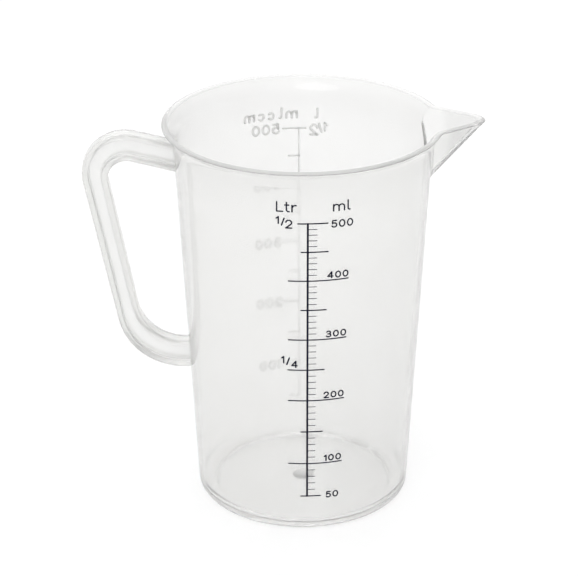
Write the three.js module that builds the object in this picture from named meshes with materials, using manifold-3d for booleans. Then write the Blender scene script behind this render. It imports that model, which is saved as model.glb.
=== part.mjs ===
// Half-litre graduated measuring jug in translucent polypropylene.
// Frame: millimetres, +Z up, origin at the centre of the underside, handle towards -X, spout towards +X.
// The printed scale faces -Y and the raised scale faces +Y.
import * as THREE from 'three';
import { mergeVertices } from 'three/addons/utils/BufferGeometryUtils.js';
import Module from 'manifold-3d';

const wasm = await Module();
wasm.setup();

// Vessel
const HEIGHT = 133;
const BASE_RADIUS = 35.9;        // outer cone, carried down to the underside
const TOP_RADIUS = 42.7;         // outer cone, carried up to the rim plane
const RIM_RADIUS = 46;
const WALL = 1.4;
const FLOOR = 1.6;
const HEEL_RADIUS = 3;
const FLARE_HEIGHT = 6.5;        // the wall trumpets outwards over this height below the rim
const FLARE_START = HEIGHT - FLARE_HEIGHT;
const TAPER = (TOP_RADIUS - BASE_RADIUS) / HEIGHT;
const LATHE_STEPS = 80;
const JOIN_GAP = 0.2;            // between a feature and the wall that it grows from
const GATE_RADIUS = 3.6;
const GATE_HEIGHT = 0.4;

// Spout: a cone over a rounded V, with its point at the foot of the keel
const SPOUT_FOOT = new THREE.Vector3(42, 0, 112.6);
const SPOUT_REACH = 59.4;
const SPOUT_HALF_ANGLE = THREE.MathUtils.degToRad(33.2);
const SPOUT_CORNER_X = 63.4;     // where the V's straight sides would meet, in the rim plane
const SPOUT_TIP_RADIUS = 4.4;
const SPOUT_BACK_X = 12;
const SPOUT_WALL = 1.5;

// Handle: an I-section loop between an outer and an inner outline
const HANDLE_DEPTH = 5;
const HANDLE_WEB = 1.6;
const HANDLE_FLANGE = 2.1;
const HANDLE_TILT = THREE.MathUtils.degToRad(14.6);
const HANDLE_OUTER = { topX: -58.1, topZ: 115.7, topRadius: 14.2, lowX: -40.2, lowZ: 67.8, lowRadius: 22.4 };
const HANDLE_INNER = { topX: -57.7, topZ: 114.3, topRadius: 6.2, lowX: -39.4, lowZ: 71.4, lowRadius: 16.4 };
const HANDLE_ROOT_X = -34;

// Graduations: heights follow the volume of the tapered inside
const SCALE_RADIUS = 34.4;
const SCALE_DATUM = 0.4;
const LINE_WIDTH = 0.5;
const TICK_WIDTH = 0.4;
const MINOR_WIDTH = 0.26;
const PRINT_GAP = 0.06;
const PRINT_THICK = 0.12;
const RAISED_THICK = 0.35;
const BEND_STEP = 2.4;

const materials = {
  polypropylene: new THREE.MeshStandardMaterial({
    color: 0xeceae6, roughness: 0.35, metalness: 0, transparent: true, opacity: 0.55,
  }),
  ink: new THREE.MeshStandardMaterial({ color: 0x20243a, roughness: 0.5, metalness: 0 }),
};

const jug = new THREE.Group();

function addNode(name, geometry, material) {
  const mesh = new THREE.Mesh(geometry, material);
  mesh.name = name;
  jug.add(mesh);
}

// ---- solids ----

function toSolid(geometry) {
  const bare = geometry.clone();
  bare.deleteAttribute('normal');
  bare.deleteAttribute('uv');
  const merged = mergeVertices(bare, 1e-4);
  return new wasm.Manifold(new wasm.Mesh({
    numProp: 3,
    vertProperties: new Float32Array(merged.attributes.position.array),
    triVerts: new Uint32Array(merged.index.array),
  }));
}

function toGeometry(solid) {
  const mesh = solid.getMesh();
  const geometry = new THREE.BufferGeometry();
  geometry.setAttribute('position', new THREE.BufferAttribute(new Float32Array(mesh.vertProperties), 3));
  geometry.setIndex(new THREE.BufferAttribute(new Uint32Array(mesh.triVerts), 1));
  return geometry;
}

// A turned solid about Z from [radius, z] points that start and end on the axis or close on themselves.
function turned(profile) {
  const points = profile.map(([radius, z]) => new THREE.Vector2(radius, z));
  const geometry = new THREE.LatheGeometry(points, LATHE_STEPS);
  geometry.rotateX(Math.PI / 2);
  return toSolid(geometry);
}

function coneRadius(z) {
  return BASE_RADIUS + TAPER * z;
}

function flare(z) {
  const rise = Math.max(0, (z - FLARE_START) / FLARE_HEIGHT);
  return (RIM_RADIUS - TOP_RADIUS) * rise * rise;
}

// Outer radius of the vessel at a height, flare included.
function outerRadius(z) {
  return coneRadius(z) + flare(z);
}

function heights(from, to, steps) {
  return Array.from({ length: steps + 1 }, (_, i) => from + (to - from) * i / steps);
}

// ---- vessel ----

function baseSolid() {
  const heel = [];
  for (const angle of heights(-Math.PI / 2, 0, 5)) {
    const z = HEEL_RADIUS + HEEL_RADIUS * Math.sin(angle);
    const radius = coneRadius(HEEL_RADIUS) - HEEL_RADIUS + HEEL_RADIUS * Math.cos(angle);
    if (z < FLOOR) heel.push([radius, z]);
  }
  return turned([[0, 0], ...heel, [heelRadius(FLOOR), FLOOR], [0, FLOOR]]);
}

// Outer radius of the rounded heel at a height below its top.
function heelRadius(z) {
  const drop = HEEL_RADIUS - z;
  const inset = HEEL_RADIUS - Math.sqrt(HEEL_RADIUS ** 2 - drop ** 2);
  return coneRadius(HEEL_RADIUS) - inset;
}

function wallSolid() {
  const outside = [
    [heelRadius(FLOOR), FLOOR],
    [heelRadius((FLOOR + HEEL_RADIUS) / 2), (FLOOR + HEEL_RADIUS) / 2],
    ...[HEEL_RADIUS, 40, 80, SPOUT_FOOT.z, FLARE_START].map((z) => [coneRadius(z), z]),
  ];
  const inside = [FLARE_START, SPOUT_FOOT.z, 80, 40, FLOOR + 3.2].map((z) => [coneRadius(z) - WALL, z]);
  const fillet = [[coneRadius(FLOOR) - 2.3, FLOOR + 1], [coneRadius(FLOOR) - 4.6, FLOOR]];
  const profile = [...outside, ...inside, ...fillet];
  return turned([...profile, profile[0]]);
}

function rimSolid() {
  const lip = 0.75;
  const outside = heights(FLARE_START, HEIGHT - lip, 4).map((z) => [outerRadius(z), z]);
  const inside = heights(HEIGHT - lip, FLARE_START, 3).map((z) => [outerRadius(z) - WALL - lip / 2, z]);
  inside[inside.length - 1][0] = coneRadius(FLARE_START) - WALL;
  const crown = [
    [RIM_RADIUS, HEIGHT - lip / 2],
    [RIM_RADIUS - lip / 2, HEIGHT],
    [RIM_RADIUS - 2 * lip, HEIGHT],
  ];
  const profile = [...outside, ...crown, ...inside];
  return turned([...profile, profile[0]]);
}

// Everything inside the outer skin, up past the rim: used to trim what grows from the wall.
function vesselPlug(offset) {
  const side = [0, 40, 80, SPOUT_FOOT.z, ...heights(FLARE_START, HEIGHT, 4)];
  const skin = side.map((z) => [outerRadius(z) + offset, z]);
  const top = HEIGHT + 20;
  return turned([[0, -1], [BASE_RADIUS + offset, -1], ...skin, [RIM_RADIUS + offset, top], [0, top]]);
}

// ---- spout ----

// The V in the rim plane, from the back corner round the tip to the other back corner.
function spoutOutline() {
  const half = (SPOUT_CORNER_X - SPOUT_BACK_X) * Math.tan(SPOUT_HALF_ANGLE);
  const centre = SPOUT_REACH - SPOUT_TIP_RADIUS;
  const swing = Math.PI / 2 - SPOUT_HALF_ANGLE;
  const tip = heights(-swing, swing, 8).map((angle) => [
    centre + SPOUT_TIP_RADIUS * Math.cos(angle),
    SPOUT_TIP_RADIUS * Math.sin(angle),
  ]);
  return [[SPOUT_BACK_X, -half], ...tip, [SPOUT_BACK_X, half]];
}

// A pyramid with its point at the keel's foot, run on upwards past the rim plane by a factor.
function spoutCone(shift, factor) {
  const rise = HEIGHT - SPOUT_FOOT.z;
  const ring = spoutOutline().map(([x, y]) => new THREE.Vector3(
    SPOUT_FOOT.x + (x - SPOUT_FOOT.x) * factor,
    y * factor,
    SPOUT_FOOT.z + rise * factor,
  ));
  const corners = [SPOUT_FOOT, ...ring].map((corner) => corner.clone().add(shift));
  const faces = [];
  for (let i = 1; i < corners.length; i += 1) {
    const next = i + 1 < corners.length ? i + 1 : 1;
    faces.push(0, next, i);
    if (i > 1 && i + 1 < corners.length) faces.push(1, i, i + 1);
  }
  const geometry = new THREE.BufferGeometry().setFromPoints(corners);
  geometry.setIndex(faces);
  return toSolid(geometry);
}

function slab(fromZ, toZ) {
  const geometry = new THREE.BoxGeometry(300, 300, toZ - fromZ);
  geometry.translate(0, 0, (fromZ + toZ) / 2);
  return toSolid(geometry);
}

function spoutSolid() {
  const inward = new THREE.Vector3(-1, 0, 1).multiplyScalar(SPOUT_WALL);
  const shell = spoutCone(new THREE.Vector3(), 1.2).subtract(spoutCone(inward, 1.4));
  return shell.subtract(vesselPlug(-WALL)).subtract(slab(HEIGHT, HEIGHT + 60));
}

function spoutCut() {
  const outward = new THREE.Vector3(1, 0, -1).multiplyScalar(JOIN_GAP);
  return spoutCone(outward, 1.3);
}

// ---- handle ----

// One outline of the loop, grown by an offset: top arm, upper bend, grip, lower bend and bottom arm.
function handleLine(line, offset) {
  const top = new THREE.Vector2(line.topX, line.topZ);
  const low = new THREE.Vector2(line.lowX, line.lowZ);
  const topRadius = line.topRadius + offset;
  const lowRadius = line.lowRadius + offset;
  const run = low.clone().sub(top);
  const lean = Math.asin((lowRadius - topRadius) / run.length());
  const start = Math.PI / 2 - HANDLE_TILT;
  const grip = run.angle() - lean - Math.PI / 2;
  const around = (centre, radius, from, to) => heights(from, to, 9).map((angle) => new THREE.Vector2(
    centre.x + radius * Math.cos(angle),
    centre.y + radius * Math.sin(angle),
  ));
  const upper = around(top, topRadius, start, grip);
  const lower = around(low, lowRadius, grip, 1.5 * Math.PI);
  const drop = (HANDLE_ROOT_X - upper[0].x) * Math.tan(HANDLE_TILT);
  return [
    new THREE.Vector2(HANDLE_ROOT_X, upper[0].y - drop),
    ...upper,
    ...lower,
    new THREE.Vector2(HANDLE_ROOT_X, low.y - lowRadius),
  ];
}

// The loop between its two outlines, each moved in by an inset.
function handleBand(inset, depth) {
  const outer = handleLine(HANDLE_OUTER, -inset);
  const inner = handleLine(HANDLE_INNER, inset);
  const shape = new THREE.Shape([...outer, ...inner.reverse()]);
  const geometry = new THREE.ExtrudeGeometry(shape, { depth, bevelEnabled: false });
  geometry.translate(0, 0, -depth / 2);
  geometry.rotateX(Math.PI / 2);
  return toSolid(geometry);
}

function handleSolid() {
  const loop = handleBand(0, HANDLE_DEPTH);
  const channel = handleBand(HANDLE_FLANGE, HANDLE_DEPTH + 2);
  const web = handleBand(HANDLE_FLANGE / 2, HANDLE_WEB);
  return loop.subtract(channel).add(web).subtract(vesselPlug(JOIN_GAP));
}

// ---- marks on the cone ----

// Height of a filling level, from the volume of the tapered inside.
function levelOf(millilitres) {
  const cube = SCALE_RADIUS ** 3 + 3 * TAPER * millilitres * 1000 / Math.PI;
  return SCALE_DATUM + (Math.cbrt(cube) - SCALE_RADIUS) / TAPER;
}

// Wraps a flat mark (x along the wall, y up, z out) onto the cone. side is -1 for -Y and 1 for +Y.
function wrap(geometry, side) {
  const place = geometry.attributes.position;
  for (let i = 0; i < place.count; i += 1) {
    const z = place.getY(i);
    const radius = coneRadius(z);
    const angle = place.getX(i) / radius;
    const out = radius + PRINT_GAP + place.getZ(i);
    place.setXYZ(i, -side * out * Math.sin(angle), side * out * Math.cos(angle), z);
  }
  return geometry;
}

// A flat bar on the wall, cut into short lengths so that it follows the curve.
function barSolid(left, right, low, high, back, front, side) {
  const lengths = Math.ceil((right - left) / BEND_STEP);
  const geometry = new THREE.BoxGeometry(right - left, high - low, front - back, lengths, 1, 1);
  geometry.translate((left + right) / 2, (low + high) / 2, (back + front) / 2);
  return toSolid(wrap(geometry, side));
}

// An upright line with a tooth for each level. The teeth are a hair thinner than the line, so that
// they enter its flanks cleanly.
function scaleGeometry(teeth, width, thick, side) {
  const levels = teeth.map((tooth) => tooth.z);
  const low = Math.min(...levels) - width;
  const high = Math.max(...levels) + width;
  const line = barSolid(-width / 2, width / 2, low, high, 0, thick, side);
  const whole = teeth.reduce((sum, { left, right, z, width: deep }) => (
    sum.add(barSolid(left, right, z - deep / 2, z + deep / 2, 0.1 * thick, 0.9 * thick, side))
  ), line);
  return toGeometry(whole);
}

// Right and left reach of each printed level.
function printedTeeth() {
  const teeth = [];
  for (let level = 50; level <= 500; level += 10) {
    const z = levelOf(level);
    if (level % 50 !== 0) {
      teeth.push({ z, width: MINOR_WIDTH, left: 0, right: 2.9 });
    } else if (level === 500) {
      teeth.push({ z, width: TICK_WIDTH, left: -3.2, right: 6.3 });
    } else if (level % 100 === 0) {
      teeth.push({ z, width: TICK_WIDTH, left: -6.1, right: 12.4 });
    } else {
      teeth.push({ z, width: TICK_WIDTH, left: level === 250 ? -6.2 : -2.1, right: 5.3 });
    }
  }
  return teeth;
}

function raisedTeeth() {
  const teeth = [];
  for (let level = 50; level <= 500; level += 50) {
    const long = level % 100 === 0;
    const left = level === 500 ? -2.5 : -0.3;
    teeth.push({ z: levelOf(level), width: 0.6, left, right: long ? 5.6 : 3.6 });
  }
  return teeth;
}

// ---- lettering ----

// Single-stroke characters in a box one unit high, drawn as lists of points.
function arc(x, y, rx, ry, from, to, steps = 6) {
  return heights(from, to, steps).map((turn) => [
    x + rx * Math.cos(turn * Math.PI),
    y + ry * Math.sin(turn * Math.PI),
  ]);
}

const GLYPHS = {
  0: { width: 0.76, loop: arc(0.38, 0.5, 0.38, 0.5, 0, 2, 14) },
  1: { width: 0.28, strokes: [[[0, 0.74], [0.28, 1], [0.28, 0]]] },
  2: { width: 0.7, strokes: [[...arc(0.34, 0.7, 0.34, 0.3, 0.95, -0.2), [0, 0], [0.7, 0]]] },
  3: {
    width: 0.68,
    strokes: [
      [...arc(0.32, 0.755, 0.3, 0.245, 0.85, -0.45), [0.24, 0.52]],
      [[0.24, 0.52], ...arc(0.32, 0.26, 0.36, 0.26, 0.45, -0.85, 8)],
    ],
  },
  4: { width: 0.78, strokes: [[[0.58, 0], [0.58, 1], [0, 0.28]], [[0, 0.28], [0.78, 0.28]]] },
  5: {
    width: 0.68,
    strokes: [[[0.62, 1], [0.12, 1], [0.06, 0.52], ...arc(0.33, 0.32, 0.35, 0.32, 0.68, -0.85, 9)]],
  },
  L: { width: 0.6, strokes: [[[0, 1], [0, 0], [0.6, 0]]] },
  t: {
    width: 0.36,
    strokes: [[[0.1, 0.98], [0.1, 0.18], [0.18, 0.04], [0.36, 0]], [[-0.06, 0.7], [0.3, 0.7]]],
  },
  r: { width: 0.42, strokes: [[[0.02, 0.68], [0.02, 0]], [[0.02, 0.38], [0.14, 0.62], [0.42, 0.66]]] },
  m: {
    width: 1.1,
    strokes: [
      [[0, 0.66], [0, 0]],
      [[0, 0.44], ...arc(0.275, 0.4, 0.275, 0.26, 0.8, 0, 4), [0.55, 0]],
      [[0.55, 0.44], ...arc(0.825, 0.4, 0.275, 0.26, 0.8, 0, 4), [1.1, 0]],
    ],
  },
  l: { width: 0.2, strokes: [[[0, 1], [0, 0.14], [0.06, 0.02], [0.2, 0]]] },
  c: { width: 0.56, strokes: [arc(0.3, 0.33, 0.3, 0.33, 0.28, 1.72, 10)] },
  '/': { width: 0.34, strokes: [[[0, 0], [0.34, 1]]] },
};

// One stroke as a flat bar with cut ends, running along its points.
function strokeShape(points, width) {
  const path = points.map(([x, y]) => new THREE.Vector2(x, y));
  const sideAt = (i) => {
    const before = path[Math.max(0, i - 1)];
    const after = path[Math.min(path.length - 1, i + 1)];
    const here = path[i];
    const into = here.clone().sub(before).normalize();
    const away = after.clone().sub(here).normalize();
    if (i === 0) into.copy(away);
    if (i === path.length - 1) away.copy(into);
    const normal = new THREE.Vector2(-into.y - away.y, into.x + away.x).normalize();
    const stretch = Math.max(0.45, normal.dot(new THREE.Vector2(-into.y, into.x)));
    return normal.multiplyScalar(width / 2 / stretch);
  };
  const left = path.map((here, i) => here.clone().add(sideAt(i)));
  const right = path.map((here, i) => here.clone().sub(sideAt(i)));
  return new THREE.Shape([...right, ...left.reverse()]);
}

function extruded(shape, thick) {
  return toSolid(new THREE.ExtrudeGeometry(shape, { depth: thick, bevelEnabled: false, curveSegments: 8 }));
}

function loopSolid(points, width, thick) {
  const grow = (by) => points.slice(0, -1).map(([x, y], i) => {
    const before = points[(i + points.length - 2) % (points.length - 1)];
    const after = points[i + 1];
    const normal = new THREE.Vector2(after[1] - before[1], before[0] - after[0]).normalize();
    return new THREE.Vector2(x, y).addScaledVector(normal, by);
  });
  return extruded(new THREE.Shape(grow(width / 2)), thick)
    .subtract(extruded(new THREE.Shape(grow(-width / 2)), thick));
}

// One character as a solid lying flat, its lower left corner at x, y.
function glyphSolid(symbol, x, y, height, width, thick) {
  const glyph = GLYPHS[symbol];
  const scaled = (points) => points.map(([u, v]) => [x + u * height, y + v * height]);
  if (glyph.loop) return loopSolid(scaled(glyph.loop), width, thick);
  return glyph.strokes
    .map((points) => extruded(strokeShape(scaled(points), width), thick))
    .reduce((whole, part) => whole.add(part));
}

const SPOKEN = { '/': 'slash' };

// A word on the wall: each character is a node of its own.
function addWord(name, text, x, y, height, style, gap = style.gap) {
  let cursor = x;
  [...text].forEach((symbol, i) => {
    const solid = glyphSolid(symbol, cursor, y, height, style.stroke, style.thick);
    const node = `${style.prefix}_${name}_${i + 1}_${SPOKEN[symbol] ?? symbol}`;
    addNode(node, wrap(toGeometry(solid), style.side), style.material);
    cursor += GLYPHS[symbol].width * height + style.stroke + gap;
  });
}

// A fraction set on a falling diagonal: upper digit, slash, lower digit.
function addFraction(name, [upper, lower], x, y, lowerHeight, style, scale = 1) {
  addWord(`${name}_over`, upper, x, y + 1.5 * scale, 2.3 * scale, style);
  addWord(name, '/', x + 1.7 * scale, y + 0.75 * scale, 2.45 * scale, style);
  addWord(`${name}_under`, lower, x + 3.3 * scale, y, lowerHeight * scale, style);
}

function addPrintedScale() {
  const style = {
    prefix: 'print', stroke: 0.42, thick: PRINT_THICK, gap: 0.42, side: -1, material: materials.ink,
  };
  addNode('print_scale', scaleGeometry(printedTeeth(), LINE_WIDTH, PRINT_THICK, -1), materials.ink);
  addWord('litre', 'Ltr', -9.8, 118.6, 3.2, style, 0.35);
  addWord('millilitre', 'ml', 8.05, 118.5, 3.2, style, 0.7);
  addFraction('half', '12', -10, levelOf(500) - 1.55, 2.7, style);
  addWord('500', '500', 7.45, levelOf(500) - 1.65, 2.25, style);
  for (const level of [400, 300, 200, 100]) {
    const x = level === 100 ? 5.6 : 5 + 0.0034 * level;
    addWord(`${level}`, `${level}`, x, levelOf(level) + 0.75, 2.05, style);
  }
  addFraction('quarter', '14', -8.4, levelOf(250) + 1.05, 2.2, style);
  addWord('50', '50', 6.3, levelOf(50) - 1, 2.1, style);
}

function addRaisedScale() {
  const style = {
    prefix: 'raised', stroke: 0.6, thick: RAISED_THICK, gap: 0.5, side: 1, material: materials.polypropylene,
  };
  addNode('raised_scale', scaleGeometry(raisedTeeth(), 0.6, RAISED_THICK, 1), materials.polypropylene);
  addWord('litre', 'l', -6.6, 118.2, 3.2, style);
  addWord('millilitre', 'ml', 0.5, 118.2, 3.3, style, 0.9);
  addWord('ccm', 'ccm', 8.7, 118, 3.2, style, 0.9);
  addFraction('half', '12', -10, levelOf(500) - 2.4, 3, style, 1.15);
  addWord('500', '500', 6.7, levelOf(500) - 1.7, 3.1, style);
  for (const level of [400, 300, 200, 100]) {
    addWord(`${level}`, `${level}`, 6.5, levelOf(level) - 1.6, 2.9, style);
  }
}

function addVessel() {
  const cut = spoutCut();
  addNode('base', toGeometry(baseSolid()), materials.polypropylene);
  addNode('vessel_wall', toGeometry(wallSolid().subtract(cut)), materials.polypropylene);
  addNode('rim', toGeometry(rimSolid().subtract(cut)), materials.polypropylene);
  addNode('spout', toGeometry(spoutSolid()), materials.polypropylene);
  addNode('handle', toGeometry(handleSolid()), materials.polypropylene);
  const crown = FLOOR + GATE_HEIGHT;
  const gate = turned([[0, FLOOR], [GATE_RADIUS, FLOOR], [GATE_RADIUS - 0.8, crown], [0, crown]]);
  addNode('gate_mark', toGeometry(gate), materials.polypropylene);
}

addVessel();
addPrintedScale();
addRaisedScale();

export default jug;
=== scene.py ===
import math

import bmesh
import bpy
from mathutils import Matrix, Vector


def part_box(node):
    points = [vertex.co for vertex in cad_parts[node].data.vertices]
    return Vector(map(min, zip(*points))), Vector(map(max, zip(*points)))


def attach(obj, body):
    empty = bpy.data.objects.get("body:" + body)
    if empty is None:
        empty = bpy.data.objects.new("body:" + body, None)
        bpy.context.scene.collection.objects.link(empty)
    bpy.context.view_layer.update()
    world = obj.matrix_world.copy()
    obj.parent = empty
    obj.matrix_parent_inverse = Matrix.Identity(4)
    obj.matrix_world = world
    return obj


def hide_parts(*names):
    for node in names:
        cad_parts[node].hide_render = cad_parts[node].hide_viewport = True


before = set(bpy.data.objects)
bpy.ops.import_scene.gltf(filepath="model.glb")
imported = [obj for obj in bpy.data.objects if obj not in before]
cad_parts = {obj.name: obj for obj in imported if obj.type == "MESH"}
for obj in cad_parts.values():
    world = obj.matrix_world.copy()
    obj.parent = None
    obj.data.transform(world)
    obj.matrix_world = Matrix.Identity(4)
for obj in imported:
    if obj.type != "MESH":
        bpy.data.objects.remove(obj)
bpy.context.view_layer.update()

MM = 0.001


# ---- sizes from the CAD frame, in millimetres ----

def box_mm(node):
    low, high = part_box(node)
    return [c / MM for c in low], [c / MM for c in high]


RIM_LOW, RIM_HIGH = box_mm("rim")
SPOUT_LOW, SPOUT_HIGH = box_mm("spout")
HANDLE_LOW, HANDLE_HIGH = box_mm("handle")
_, BASE_HIGH = box_mm("base")
_, GATE_HIGH = box_mm("gate_mark")

HEIGHT = RIM_HIGH[2]
RIM_RADIUS = RIM_HIGH[1]
FLARE_START = RIM_LOW[2]
FLOOR = BASE_HIGH[2]
GATE_RADIUS = GATE_HIGH[0]
SPOUT_REACH = SPOUT_HIGH[0]
SPOUT_FOOT = SPOUT_LOW[2]
HANDLE_DEPTH = HANDLE_HIGH[1] - HANDLE_LOW[1]

LIP = 0.65
CROWN = HEIGHT - LIP
BASE_RADIUS = 35.9
TAPER = 6.8 / HEIGHT
WALL = 1.4
HEEL = 3.0


def cone(z):
    """Outer radius of the plain tapered wall."""
    return BASE_RADIUS + TAPER * z


def flare(z):
    rise = max(0.0, (z - FLARE_START) / (CROWN - FLARE_START))
    return (RIM_RADIUS - cone(CROWN)) * rise * rise


def outer(z):
    return cone(z) + flare(z)


def inner(z):
    step = 0.05
    slope = (outer(z + step) - outer(z - step)) / (2 * step)
    return outer(z) - WALL * math.sqrt(1 + slope * slope)


# ---- mesh helpers ----

def steps(a, b, n):
    return [a + (b - a) * i / n for i in range(n + 1)]


def add_piece(name, verts, faces, material, slot, nodes):
    """A smooth piece from millimetres, riding the jug's one body in place of its CAD nodes."""
    mesh = bpy.data.meshes.new(name)
    mesh.from_pydata([[c * MM for c in v] for v in verts], [], faces)
    shape = bmesh.new()
    shape.from_mesh(mesh)
    bmesh.ops.remove_doubles(shape, verts=shape.verts, dist=0.002 * MM)
    bmesh.ops.recalc_face_normals(shape, faces=shape.faces)
    shape.to_mesh(mesh)
    shape.free()
    for polygon in mesh.polygons:
        polygon.use_smooth = True
    piece = bpy.data.objects.new(name, mesh)
    bpy.context.collection.objects.link(piece)
    mesh.materials.append(material)
    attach(piece, "root")
    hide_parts(*nodes)


def skin(rings):
    """Vertices and faces of a closed surface through rings of equal length. Ends close on their centres."""
    count = len(rings[0])
    verts = [v for ring in rings for v in ring]
    faces = []
    for i in range(len(rings) - 1):
        for j in range(count):
            k = (j + 1) % count
            a, b = i * count, (i + 1) * count
            faces.append((a + j, a + k, b + k, b + j))
    for ring_index, flip in ((0, True), (len(rings) - 1, False)):
        ring = rings[ring_index]
        centre = [sum(v[c] for v in ring) / count for c in range(3)]
        verts.append(centre)
        tip = len(verts) - 1
        base = ring_index * count
        for j in range(count):
            k = (j + 1) % count
            faces.append((base + k, base + j, tip) if flip else (base + j, base + k, tip))
    return verts, faces


# ---- vessel with its spout, one seamless skin ----

HALF_ANGLE = math.radians(33.2)
CORNER_X = 63.4
FOOT_X = 42.0
TIP_RADIUS = 4.4
SPOUT_RISE = CROWN - SPOUT_FOOT
SPOUT_WALL = 1.45
BLEND = 1.3
RECESS = 0.55
FILLET = 3.7
FILLET_END = FLOOR + 0.3
BELOW_SPOUT = SPOUT_FOOT - 3


def blend_max(a, b):
    h = max(BLEND - abs(a - b), 0) / BLEND
    return max(a, b) + h * h * BLEND / 4


def v_radius(turn, z, foot_x=FOOT_X):
    """Distance from the axis of the spout's V at a turn from +X, in radians."""
    s = (z - SPOUT_FOOT) / SPOUT_RISE
    apex = foot_x + (CORNER_X - FOOT_X) * s
    centre = foot_x + (SPOUT_REACH - TIP_RADIUS - FOOT_X) * s
    tip = TIP_RADIUS * max(s, 0)
    t = abs(turn)
    if t > math.pi / 2 or apex < 1:
        return 0.0
    if tip > 0 and t < math.atan2(tip * math.cos(HALF_ANGLE), centre + tip * math.sin(HALF_ANGLE)):
        return centre * math.cos(t) + math.sqrt(max(0, tip ** 2 - (centre * math.sin(t)) ** 2))
    return apex * math.sin(HALF_ANGLE) / math.sin(min(HALF_ANGLE + t, math.pi / 2))


def outside_radius(turn, z):
    if z < BELOW_SPOUT:
        return outer(z)
    return blend_max(outer(z), v_radius(turn, z))


def inside_radius(turn, z):
    plain = inner(z)
    if z < BELOW_SPOUT:
        return plain
    return blend_max(plain, v_radius(turn, z - SPOUT_WALL * 1.05, FOOT_X - SPOUT_WALL))


def vessel_turns():
    fine = steps(-25, 25, 125)
    coarse = steps(25, 335, 128)[1:-1]
    return [math.radians(a) for a in fine + coarse]


def wrap_turn(a):
    return (a + math.pi) % (2 * math.pi) - math.pi


def ring_at(turns, radius_of, z):
    return [[radius_of(wrap_turn(a)) * math.cos(a), radius_of(wrap_turn(a)) * math.sin(a), z] for a in turns]


def vessel():
    """From the middle of the underside, up the outside, over the lip, and down to the floor's middle."""
    turns = vessel_turns()
    rings = []

    def flat(radius, z):
        rings.append([[radius * math.cos(a), radius * math.sin(a), z] for a in turns])

    for radius in (2, 10, 20, 29.3):
        flat(radius, RECESS)
    flat(29.9, RECESS * 0.8)
    flat(30.3, RECESS * 0.25)
    flat(30.7, 0.02)
    flat(31.6, 0.0)
    centre = cone(HEEL) - HEEL
    for a in steps(-90, 0, 9):
        flat(centre + HEEL * math.cos(math.radians(a)), HEEL + HEEL * math.sin(math.radians(a)))
    for z in steps(HEEL, BELOW_SPOUT, 34)[1:] + steps(BELOW_SPOUT, CROWN, 48)[1:]:
        rings.append(ring_at(turns, lambda t, z=z: outside_radius(t, z), z))
    for a in steps(0, 180, 10)[1:-1]:
        share = (1 + math.cos(math.radians(a))) / 2
        z = CROWN + LIP * math.sin(math.radians(a))
        rings.append(ring_at(
            turns,
            lambda t, share=share: inside_radius(t, CROWN) * (1 - share) + outside_radius(t, CROWN) * share,
            z,
        ))
    for z in steps(CROWN, BELOW_SPOUT, 48) + steps(BELOW_SPOUT, FILLET_END + FILLET, 30)[1:]:
        rings.append(ring_at(turns, lambda t, z=z: inside_radius(t, z), z))
    centre = inner(FILLET_END + FILLET) - FILLET
    for a in steps(0, 90, 8)[1:]:
        angle = math.radians(a)
        flat(centre + FILLET * math.cos(angle), FILLET_END + FILLET - FILLET * math.sin(angle))
    flat(29.9, FLOOR + 0.24)
    flat(29.5, FLOOR + 0.06)
    for radius in (29.2, 26, 18, 9, 2):
        flat(radius, FLOOR)
    return skin(rings)


# ---- handle: an I-section loft between two outlines ----

TILT = math.radians(14.6)
OUTLINE = {"top": (-58.1, 115.7, 14.2), "low": (-40.2, 67.8, 22.4)}
INLINE = {"top": (-57.7, 114.3, 6.2), "low": (-39.4, 71.4, 16.4)}
FLANGE = 2.1
WEB = 1.6


def loop_line(line):
    (tx, tz, tr), (lx, lz, lr) = line["top"], line["low"]
    run = Vector((lx - tx, lz - tz))
    lean = math.asin((lr - tr) / run.length)
    turn = math.atan2(run.y, run.x) % (2 * math.pi) - lean - math.pi / 2
    upper = [(tx + tr * math.cos(a), tz + tr * math.sin(a)) for a in steps(math.pi / 2 - TILT, turn, 48)]
    lower = [(lx + lr * math.cos(a), lz + lr * math.sin(a)) for a in steps(turn, 1.5 * math.pi, 48)]
    return upper, lower


def to_wall(point, direction, y):
    """Runs a point of the arm along until it is just under the wall's skin."""
    low, high = 0.0, 60.0
    for _ in range(40):
        mid = (low + high) / 2
        x, z = point[0] + direction[0] * mid, point[1] + direction[1] * mid
        if math.hypot(x, y) > outer(z) - 0.35:
            low = mid
        else:
            high = mid
    return [point[0] + direction[0] * high, y, point[1] + direction[1] * high]


def rounded(corners, radius, n=3):
    """A closed polygon with its corners rounded."""
    out = []
    for i, corner in enumerate(corners):
        here = Vector(corner)
        back = Vector(corners[i - 1]) - here
        on = Vector(corners[(i + 1) % len(corners)]) - here
        cut = min(radius, back.length / 2.1, on.length / 2.1)
        a, b = here + back.normalized() * cut, here + on.normalized() * cut
        for t in steps(0, 1, n):
            out.append((a * (1 - t) ** 2 + here * 2 * t * (1 - t) + b * t * t)[:])
    return out


def handle_section(width):
    d, w, f = HANDLE_DEPTH / 2, WEB / 2, FLANGE
    corners = [
        (0, -d), (f, -d), (f, -w), (width - f, -w), (width - f, -d), (width, -d),
        (width, d), (width - f, d), (width - f, w), (f, w), (f, d), (0, d),
    ]
    return rounded(corners, 0.45)


def between(a, b, t):
    """The ring a share t of the way from ring a to ring b."""
    return [[p + (q - p) * t for p, q in zip(u, v)] for u, v in zip(a, b)]


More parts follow.
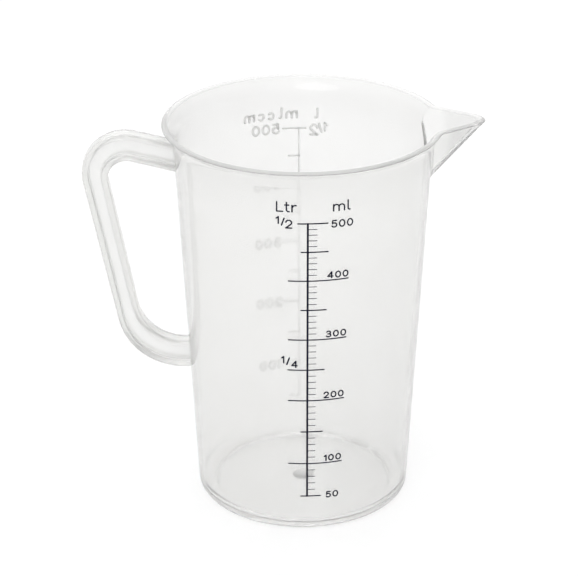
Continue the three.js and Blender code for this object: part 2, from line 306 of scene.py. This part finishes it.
def handle():
    (out_up, out_low), (in_up, in_low) = loop_line(OUTLINE), loop_line(INLINE)
    shares = steps(0, 1, 60)[1:-1]
    outer_line = out_up + [Vector(out_up[-1]).lerp(Vector(out_low[0]), t)[:] for t in shares] + out_low
    inner_line = in_up + [Vector(in_up[-1]).lerp(Vector(in_low[0]), t)[:] for t in shares] + in_low
    rings = []
    for o, i in zip(outer_line, inner_line):
        o, i = Vector(o), Vector(i)
        across = (o - i).normalized()
        section = handle_section((o - i).length)
        rings.append([[i.x + across.x * t, y, i.y + across.y * t] for t, y in section])
    down = (math.cos(-TILT), math.sin(-TILT))
    first, last = rings[0], rings[-1]
    start = [to_wall((v[0], v[2]), down, v[1]) for v in first]
    end = [to_wall((v[0], v[2]), (1, 0), v[1]) for v in last]
    rings = [start] + [between(start, first, t) for t in steps(0, 1, 16)[1:-1]] + rings
    rings += [between(last, end, t) for t in steps(0, 1, 16)[1:-1]] + [end]
    return skin(rings)


def gate():
    turns = [math.radians(a) for a in steps(0, 360, 72)[:-1]]
    rise = (GATE_HIGH[2] - FLOOR) * 0.4
    dome = [
        (GATE_RADIUS * math.sin(t), FLOOR + rise * math.cos(t) ** 1.4)
        for t in steps(math.pi / 2, 0.12, 12)
    ]
    profile = [(0.5, FLOOR - 0.1), (GATE_RADIUS, FLOOR - 0.1)] + dome
    return skin([[[r * math.cos(a), r * math.sin(a), z] for a in turns] for r, z in profile])


# ---- marks on the wall ----

def on_wall(u, z, proud, side):
    radius = cone(z)
    out = radius + proud
    return [-side * out * math.sin(u / radius), side * out * math.cos(u / radius), z]


def along(points, step):
    """Points spaced evenly along a polyline, its own corners kept."""
    out = [Vector(points[0])]
    for a, b in zip(points, points[1:]):
        a, b = Vector(a), Vector(b)
        n = max(1, math.ceil((b - a).length / step))
        out += [a.lerp(b, i / n) for i in range(1, n + 1)]
    return out


def closed_loop(rings):
    """Vertices and faces of a tube whose last ring joins its first."""
    count = len(rings[0])
    faces = []
    for i in range(len(rings)):
        for j in range(count):
            k = (j + 1) % count
            a, b = i * count, (i + 1) % len(rings) * count
            faces.append((a + j, b + j, b + k, a + k))
    return [v for ring in rings for v in ring], faces


def stroke(points, width, high, side, sink=0.03, loop=False):
    """A line of ink or relief: a flattened dome with round ends, bent onto the wall."""
    path = along(points, 0.35)
    half = width / 2
    stations = []
    if loop:
        path = path[:-1]
    for i, here in enumerate(path):
        before = path[i - 1] if i or loop else here
        after = path[(i + 1) % len(path)] if loop or i + 1 < len(path) else here
        heading = (after - before).normalized()
        stations.append((here, heading, 1.0))
    if not loop:
        cap = [0.98, 0.9, 0.75, 0.5, 0.2]
        first, last = stations[0], stations[-1]
        ahead = [(last[0] + last[1] * half * math.sqrt(1 - c * c), last[1], c) for c in cap]
        behind = [(first[0] - first[1] * half * math.sqrt(1 - c * c), first[1], c) for c in reversed(cap)]
        stations = behind + stations + ahead
    rings = []
    for here, heading, scale in stations:
        normal = Vector((-heading.y, heading.x))
        ring = []
        for a in steps(0, 180, 8):
            edge = math.cos(math.radians(a))
            lift = high * min(1.0, 1.35 * math.sin(math.radians(a))) * min(1.0, 0.35 + 0.65 * scale)
            at = here + normal * half * scale * edge
            ring.append(on_wall(at.x, at.y, lift - sink, side))
        rings.append(ring)
    if loop:
        return closed_loop(rings)
    verts, faces = skin(rings)
    return verts, [tuple(reversed(face)) for face in faces]


def arc(x, y, rx, ry, start, end, n=10):
    return [(x + rx * math.cos(t * math.pi), y + ry * math.sin(t * math.pi)) for t in steps(start, end, n)]


# Each character: its width, then its strokes, in units of its height.
GLYPHS = {
    "0": (0.76, [arc(0.38, 0.5, 0.38, 0.5, 0, 2, 26)]),
    "1": (0.28, [[(0, 0.76), (0.28, 1)], [(0.28, 1), (0.28, 0)]]),
    "2": (0.7, [arc(0.34, 0.69, 0.34, 0.31, 0.95, -0.2) + [(0, 0)], [(0, 0), (0.7, 0)]]),
    "3": (0.68, [arc(0.32, 0.755, 0.3, 0.245, 0.85, -0.45) + [(0.24, 0.52)],
                 [(0.24, 0.52)] + arc(0.32, 0.26, 0.36, 0.26, 0.45, -0.85, 14)]),
    "4": (0.78, [[(0.58, 0), (0.58, 1)], [(0.58, 1), (0, 0.28)], [(0, 0.28), (0.78, 0.28)]]),
    "5": (0.68, [[(0.62, 1), (0.12, 1)], [(0.12, 1), (0.06, 0.52)],
                 [(0.06, 0.52)] + arc(0.33, 0.32, 0.35, 0.32, 0.68, -0.85, 14)]),
    "L": (0.6, [[(0, 1), (0, 0)], [(0, 0), (0.6, 0)]]),
    "t": (0.36, [[(0.1, 0.98), (0.1, 0.2), (0.14, 0.08), (0.22, 0.01), (0.36, 0)],
                 [(-0.06, 0.7), (0.32, 0.7)]]),
    "r": (0.42, [[(0.02, 0.68), (0.02, 0)], [(0.02, 0.38), (0.12, 0.58), (0.24, 0.66), (0.42, 0.67)]]),
    "m": (1.1, [[(0, 0.66), (0, 0)], [(0, 0.42)] + arc(0.275, 0.4, 0.275, 0.26, 0.8, 0, 8) + [(0.55, 0)],
                [(0.55, 0.42)] + arc(0.825, 0.4, 0.275, 0.26, 0.8, 0, 8) + [(1.1, 0)]]),
    "l": (0.2, [[(0, 1), (0, 0.16), (0.03, 0.06), (0.1, 0.01), (0.2, 0)]]),
    "c": (0.56, [arc(0.3, 0.33, 0.3, 0.33, 0.28, 1.72, 16)]),
    "/": (0.34, [[(0, 0), (0.34, 1)]]),
}


def join(parts):
    verts, faces = [], []
    for part_verts, part_faces in parts:
        base = len(verts)
        verts += part_verts
        faces += [tuple(base + i for i in face) for face in part_faces]
    return verts, faces


def glyph(symbol, u, z, height, width, high, side):
    parts = []
    for line in GLYPHS[symbol][1]:
        points = [(u + x * height, z + y * height) for x, y in line]
        parts.append(stroke(points, width, high, side, loop=symbol == "0"))
    return join(parts)


def left_edge(node, side):
    """Where a character starts along the wall, from its CAD box."""
    low, high = box_mm(node)
    radius = cone((low[2] + high[2]) / 2)
    edge = low[0] if side < 0 else -high[0]
    return radius * math.asin(edge / radius)


def word_nodes(prefix, name, text):
    spoken = {"/": "slash"}
    return [f"{prefix}_{name}_{i + 1}_{spoken.get(c, c)}" for i, c in enumerate(text)]


def word(style, name, text, size, level="last", gap=None):
    """A printed or raised word: one piece that stands on the CAD's characters."""
    nodes = word_nodes(style["prefix"], name, text)
    width, side = style["width"], style["side"]
    lean_on = nodes[0] if level == "first" else nodes[-1]
    base = box_mm(lean_on)[0][2] + (0 if text in ("1", "4") else width / 2)
    cursor = left_edge(nodes[0], side) + width / 2
    parts = []
    for symbol in text:
        parts.append(glyph(symbol, cursor, base, size, width, style["high"], side))
        cursor += GLYPHS[symbol][0] * size + width + (style["gap"] if gap is None else gap)
    add_piece(f"{style['prefix']}_{name}", *join(parts), style["material"], style["slot"], nodes)


SCALE_RADIUS = 34.4
SCALE_DATUM = 0.4


def level_height(volume):
    """Height of a filling level in millilitres, from the volume of the tapered inside."""
    cube = SCALE_RADIUS ** 3 + 3 * TAPER * volume * 1000 / math.pi
    return SCALE_DATUM + (cube ** (1 / 3) - SCALE_RADIUS) / TAPER


def print_reach(volume):
    """Left and right end of a printed level line."""
    if volume == 500:
        return -3.1, 6.3
    if volume % 100 == 0:
        return -6.1, 11 + 0.0053 * volume
    if volume % 50 == 0:
        return -6.3 if volume == 250 else -2.05, 4.15 + 0.005 * volume
    return 0.1, 2.45 + 0.0009 * volume


def print_width(volume):
    return 0.46 if volume % 50 == 0 else 0.24


def raised_reach(volume):
    return -2.5 if volume == 500 else -0.3, 5.6 if volume % 100 == 0 else 3.6


def raised_width(volume):
    return 0.6


def scale_lines(style, spacing, upright, reach, tick_width):
    """One piece: the upright line of a scale with a tick at every level."""
    prefix, high, side = style["prefix"], style["high"], style["side"]
    parts = [stroke([(0, level_height(50)), (0, level_height(500))], upright, high, side)]
    for volume in range(50, 501, spacing):
        left, right = reach(volume)
        z = level_height(volume)
        parts.append(stroke([(left, z), (right, z)], tick_width(volume), high * 0.95, side))
    add_piece(f"{prefix}_scale_lines", *join(parts), style["material"], style["slot"], [f"{prefix}_scale"])


# ---- materials ----

def new_material(name):
    material = bpy.data.materials.new(name)
    material.use_nodes = True
    tree = material.node_tree
    tree.nodes.clear()
    output = tree.nodes.new("ShaderNodeOutputMaterial")
    shader = tree.nodes.new("ShaderNodeBsdfPrincipled")
    tree.links.new(shader.outputs["BSDF"], output.inputs["Surface"])
    return material, tree, shader, output


def noise(tree, scale, detail=3.0, stretch=(1, 1, 1)):
    place = tree.nodes.new("ShaderNodeTexCoord")
    mapping = tree.nodes.new("ShaderNodeMapping")
    mapping.inputs["Scale"].default_value = stretch
    texture = tree.nodes.new("ShaderNodeTexNoise")
    texture.inputs["Scale"].default_value = scale
    texture.inputs["Detail"].default_value = detail
    tree.links.new(place.outputs["Object"], mapping.inputs["Vector"])
    tree.links.new(mapping.outputs["Vector"], texture.inputs["Vector"])
    return texture.outputs["Fac"]


def ramp(tree, value, low, high, start=0.3, end=0.7):
    """Maps a noise value onto a span of greys or colours."""
    node = tree.nodes.new("ShaderNodeValToRGB")
    node.color_ramp.elements[0].position = start
    node.color_ramp.elements[1].position = end
    node.color_ramp.elements[0].color = low
    node.color_ramp.elements[1].color = high
    tree.links.new(value, node.inputs["Fac"])
    return node.outputs["Color"]


def grey(value):
    return (value, value, value, 1)


def bumps(tree, shader, layers):
    """Stacks (noise value, strength, depth in metres) as bump on a shader."""
    last = None
    for value, strength, depth in layers:
        node = tree.nodes.new("ShaderNodeBump")
        node.inputs["Strength"].default_value = strength
        node.inputs["Distance"].default_value = depth
        tree.links.new(value, node.inputs["Height"])
        if last:
            tree.links.new(last, node.inputs["Normal"])
        last = node.outputs["Normal"]
    tree.links.new(last, shader.inputs["Normal"])


def zone(tree, axis, start, end):
    """0 to 1 along one axis of the piece, softly, between two places in millimetres."""
    place = tree.nodes.new("ShaderNodeTexCoord")
    split = tree.nodes.new("ShaderNodeSeparateXYZ")
    span = tree.nodes.new("ShaderNodeMapRange")
    span.interpolation_type = "SMOOTHSTEP"
    span.inputs["From Min"].default_value = start * MM
    span.inputs["From Max"].default_value = end * MM
    tree.links.new(place.outputs["Object"], split.inputs["Vector"])
    tree.links.new(split.outputs[axis], span.inputs["Value"])
    return span.outputs["Result"]


def mix(tree, share, first, second, kind="FLOAT", blend="MIX"):
    node = tree.nodes.new("ShaderNodeMix")
    node.data_type = kind
    if kind == "RGBA":
        node.blend_type = blend
    tree.links.new(share, node.inputs["Factor"])
    for socket, value in ((node.inputs["A"], first), (node.inputs["B"], second)):
        if isinstance(value, bpy.types.NodeSocket):
            tree.links.new(value, socket)
        else:
            socket.default_value = value
    return node.outputs["Result"]


def polypropylene(name, light, dark, transmission, rough, density=0, zones=()):
    """Translucent moulded plastic: haze clouds, faint flow streaks and a fine grain.

    Each zone is (axis, start, end, tint, transmission, roughness). A zone only stands in for light
    that the model doesn't carry: the real plastic is the same all over. The zones share one volume,
    because light that enters a mesh by one volume and leaves by another draws false dark lines.
    """
    material, tree, shader, output = new_material(name)
    streaks = noise(tree, 260, 4, (1, 1, 0.12))
    colour = ramp(tree, noise(tree, 90, 4), dark, light)
    finish = ramp(tree, streaks, grey(rough * 0.8), grey(rough * 1.3))
    clear = transmission
    for axis, start, end, tint, zone_clear, zone_rough in zones:
        share = zone(tree, axis, start, end)
        colour = mix(tree, share, colour, grey(tint), "RGBA", "MULTIPLY")
        clear = mix(tree, share, clear, zone_clear)
        finish = mix(tree, share, finish, zone_rough)
    tree.links.new(colour, shader.inputs["Base Color"])
    tree.links.new(finish, shader.inputs["Roughness"])
    if zones:
        tree.links.new(clear, shader.inputs["Transmission Weight"])
    else:
        shader.inputs["Transmission Weight"].default_value = clear
    shader.inputs["IOR"].default_value = 1.36
    bumps(tree, shader, [(streaks, 0.12, 0.00005), (noise(tree, 3200, 2), 0.1, 0.00003)])
    if density:
        volume = tree.nodes.new("ShaderNodeVolumeAbsorption")
        volume.inputs["Color"].default_value = (0.86, 0.86, 0.85, 1)
        volume.inputs["Density"].default_value = density
        tree.links.new(volume.outputs["Volume"], output.inputs["Volume"])
    return material


def ink_material():
    """Screen-printed navy ink with slight pinholes and an uneven film."""
    material, tree, shader, _ = new_material("printed_ink")
    tree.links.new(
        ramp(tree, noise(tree, 2600, 5), (0.002, 0.0025, 0.010, 1), (0.006, 0.007, 0.024, 1), 0.35, 0.75),
        shader.inputs["Base Color"],
    )
    tree.links.new(ramp(tree, noise(tree, 900, 3), grey(0.5), grey(0.75)), shader.inputs["Roughness"])
    shader.inputs["Specular IOR Level"].default_value = 0.1
    bumps(tree, shader, [(noise(tree, 5200, 3), 0.25, 0.00002)])
    return material


body_plastic = polypropylene(
    "polypropylene_wall", (0.998, 0.997, 0.993, 1), (0.985, 0.983, 0.977, 1),
    transmission=0.84, rough=0.09, density=90,
    zones=(
        ("Z", FLARE_START - 14, CROWN, 0.955, 0.84, 0.1),
        ("X", RIM_RADIUS - 1, RIM_RADIUS + 3, 0.94, 0.82, 0.1),
        ("Z", FLOOR + 2.5, FLOOR - 0.5, 1.0, 0.84, 0.2),
        ("Z", CROWN - 0.1, CROWN + 0.3, 0.94, 0.52, 0.24),
    ),
)
handle_plastic = polypropylene(
    "polypropylene_handle", (0.995, 0.995, 0.99, 1), (0.98, 0.98, 0.975, 1),
    transmission=0.74, rough=0.14, density=300,
)
relief_plastic = polypropylene(
    "polypropylene_relief", (0.96, 0.96, 0.955, 1), (0.92, 0.92, 0.915, 1), transmission=0.8, rough=0.3,
)
gate_plastic = polypropylene(
    "polypropylene_gate", (0.985, 0.985, 0.98, 1), (0.965, 0.965, 0.96, 1), transmission=0.85, rough=0.35,
)
ink = ink_material()


# ---- pieces ----

add_piece("jug_body", *vessel(), body_plastic, "polypropylene", ["vessel_wall", "base", "rim", "spout"])
add_piece("jug_handle", *handle(), handle_plastic, "polypropylene", ["handle"])
add_piece("gate_boss", *gate(), gate_plastic, "polypropylene", ["gate_mark"])

PRINT = {
    "prefix": "print", "width": 0.5, "high": 0.07, "gap": 0.42, "side": -1, "material": ink, "slot": "ink",
}
RAISED = {
    "prefix": "raised", "width": 0.85, "high": 0.35, "gap": 0.5, "side": 1,
    "material": relief_plastic, "slot": "polypropylene",
}

scale_lines(PRINT, 10, 0.66, print_reach, print_width)
word(PRINT, "litre", "Ltr", 3.2, level="first", gap=0.35)
word(PRINT, "millilitre", "ml", 3.2, gap=0.7)
word(PRINT, "half_over", "1", 2.3)
word(PRINT, "half", "/", 2.45)
word(PRINT, "half_under", "2", 2.7)
word(PRINT, "500", "500", 2.25)
for number in ("400", "300", "200", "100"):
    word(PRINT, number, number, 2.05)
word(PRINT, "quarter_over", "1", 2.3)
word(PRINT, "quarter", "/", 2.45)
word(PRINT, "quarter_under", "4", 2.2)
word(PRINT, "50", "50", 2.1)

scale_lines(RAISED, 50, 0.6, raised_reach, raised_width)
word(RAISED, "litre", "l", 3.2)
word(RAISED, "millilitre", "ml", 3.3, gap=0.9)
word(RAISED, "ccm", "ccm", 3.2, level="first", gap=0.9)
word(RAISED, "half_over", "1", 2.65)
word(RAISED, "half", "/", 2.8)
word(RAISED, "half_under", "2", 3.45)
word(RAISED, "500", "500", 3.1)
for number in ("400", "300", "200", "100"):
    word(RAISED, number, number, 2.9)


# ---- floor, light and camera ----

def floor():
    """Pale paper that gives off light like a light table: the photo shows no shadow under the jug."""
    size = 6.0
    mesh = bpy.data.meshes.new("floor")
    corners = [(-size, -size, 0), (size, -size, 0), (size, size, 0), (-size, size, 0)]
    mesh.from_pydata(corners, [], [(0, 1, 2, 3)])
    plane = bpy.data.objects.new("floor", mesh)
    bpy.context.collection.objects.link(plane)
    plane.location.z = -0.00005
    material, tree, shader, _ = new_material("floor_paper")
    tree.links.new(ramp(tree, noise(tree, 40, 2), grey(0.27), grey(0.29)), shader.inputs["Base Color"])
    shader.inputs["Emission Color"].default_value = (1, 1, 1, 1)
    shader.inputs["Emission Strength"].default_value = 0.72
    shader.inputs["Roughness"].default_value = 1
    shader.inputs["Specular IOR Level"].default_value = 0
    mesh.materials.append(material)


def studio():
    """Soft white surroundings, darker low down and towards both sides, which grey the jug's edges."""
    world = bpy.data.worlds.new("studio")
    bpy.context.scene.world = world
    world.use_nodes = True
    tree = world.node_tree
    background = tree.nodes["Background"]
    place = tree.nodes.new("ShaderNodeTexCoord")
    split = tree.nodes.new("ShaderNodeSeparateXYZ")
    tree.links.new(place.outputs["Generated"], split.inputs["Vector"])
    height = ramp(tree, split.outputs["Z"], grey(0.55), grey(1.0), 0.0, 0.6)
    spread = tree.nodes.new("ShaderNodeMath")
    spread.operation = "MULTIPLY_ADD"
    spread.inputs[1].default_value = 0.5
    spread.inputs[2].default_value = 0.5
    tree.links.new(split.outputs["X"], spread.inputs[0])
    flags = ramp(tree, spread.outputs["Value"], grey(0.6), grey(0.35), 0.1, 0.9)
    flags.node.color_ramp.elements.new(0.5).color = grey(1.0)
    both = tree.nodes.new("ShaderNodeMix")
    both.data_type = "RGBA"
    both.blend_type = "MULTIPLY"
    both.inputs["Factor"].default_value = 1
    tree.links.new(height, both.inputs["A"])
    tree.links.new(flags, both.inputs["B"])
    tree.links.new(both.outputs["Result"], background.inputs["Color"])
    background.inputs["Strength"].default_value = 1.6


def area_light(name, place, aim, size, energy):
    data = bpy.data.lights.new(name, "AREA")
    data.shape = "DISK"
    data.size = size
    data.energy = energy
    light = bpy.data.objects.new(name, data)
    light.location = place
    light.rotation_euler = (Vector(aim) - Vector(place)).to_track_quat("-Z", "Y").to_euler()
    bpy.context.collection.objects.link(light)


def camera():
    data = bpy.data.cameras.new("camera")
    data.lens = 142.07
    data.shift_x = -0.0242
    data.shift_y = 0.0298
    data.clip_end = 50
    eye = bpy.data.objects.new("camera", data)
    azimuth, elevation, distance = math.radians(-2.1), math.radians(25.5), 0.7695
    target = Vector((0, 0, HEIGHT / 2 * MM))
    away = Vector((
        math.sin(azimuth) * math.cos(elevation),
        -math.cos(azimuth) * math.cos(elevation),
        math.sin(elevation),
    ))
    eye.location = target + away * distance
    eye.rotation_euler = (-away).to_track_quat("-Z", "Y").to_euler()
    bpy.context.collection.objects.link(eye)
    bpy.context.scene.camera = eye


floor()
studio()
area_light("key", (-0.3, -1.1, 0.85), aim=(0, 0, 0.06), size=0.9, energy=3.2)
area_light("fill", (0.8, 0.2, 1.1), aim=(0, 0, 0.06), size=1.0, energy=0.6)
camera()

# Light crosses many skins of clear plastic on its way, so it needs many bounces.
scene = bpy.context.scene
scene.cycles.max_bounces = 32
scene.cycles.diffuse_bounces = 16
scene.cycles.glossy_bounces = 12
scene.cycles.transmission_bounces = 28
scene.view_settings.view_transform = "Standard"
scene.view_settings.look = "None"
